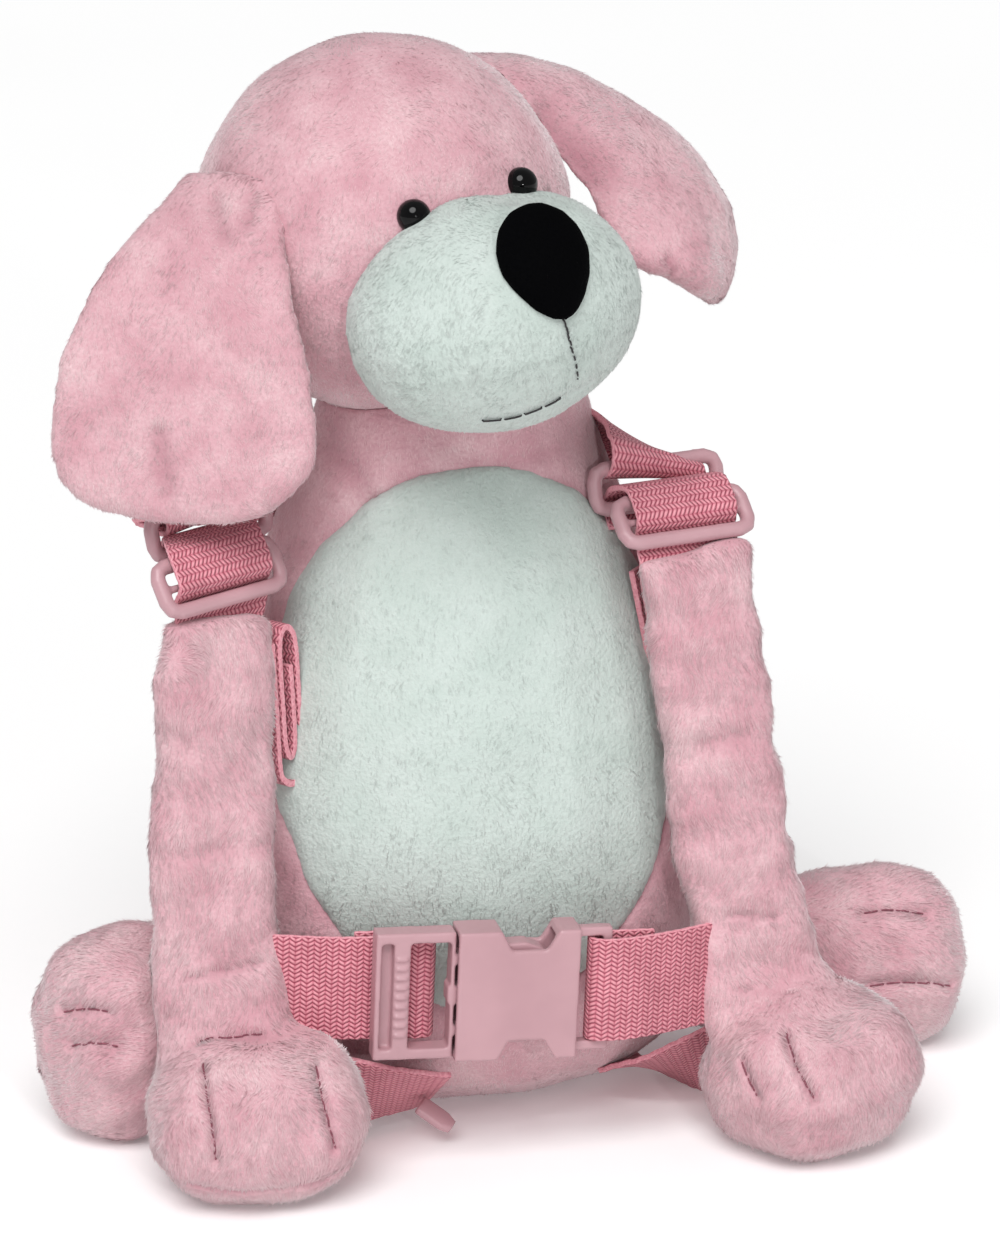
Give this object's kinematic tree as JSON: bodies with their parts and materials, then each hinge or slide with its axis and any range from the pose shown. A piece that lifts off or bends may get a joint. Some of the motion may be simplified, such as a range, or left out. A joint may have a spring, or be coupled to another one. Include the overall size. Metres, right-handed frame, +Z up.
{
  "type": "toddler harness backpack",
  "caption": "Sitting plush puppy toddler backpack with fleece shoulder straps ending in paws, webbing, adjusters and a waist buckle.",
  "frame": {"origin": "centre of the bounding box, on the ground", "axes": "+Z up as it sits, the puppy looks along -Y, its right side is -X"},
  "size_m": [0.2232, 0.1292, 0.2447],
  "materials": {
    "pink_plush": "short soft plush pile",
    "pale_plush": "short soft plush pile",
    "pink_webbing": "woven webbing",
    "pink_plastic": "moulded, satin",
    "black_felt": "flocked velour",
    "black_gloss": "polished"
  },
  "bodies": {
    "root": {"body": "pink_plush", "belly_panel": "pale_plush", "zip_tape": "pink_webbing", "head": "pink_plush", "muzzle": "pale_plush", "nose": "black_felt", "eye_right": "black_gloss", "eye_left": "black_gloss", "ear_right": "pink_plush", "ear_left": "pink_plush", "strap_sleeve_right": "pink_plush", "strap_sleeve_left": "pink_plush", "front_paw_right": "pink_plush", "front_paw_left": "pink_plush", "hind_leg_right": "pink_plush", "hind_leg_left": "pink_plush", "slider_right": "pink_plastic", "slider_left": "pink_plastic", "ring_right": "pink_plastic", "ring_left": "pink_plastic", "adjuster_web_right": "pink_webbing", "adjuster_web_left": "pink_webbing", "slack_web_right": "pink_webbing", "slack_web_left": "pink_webbing", "upper_web_right": "pink_webbing", "upper_web_left": "pink_webbing", "belt_web_right": "pink_webbing", "belt_web_left": "pink_webbing", "side_web_right": "pink_webbing", "side_web_left": "pink_webbing", "side_tab": "pink_plastic", "buckle_male": "pink_plastic", "buckle_female": "pink_plastic"}
  },
  "joints": []
}
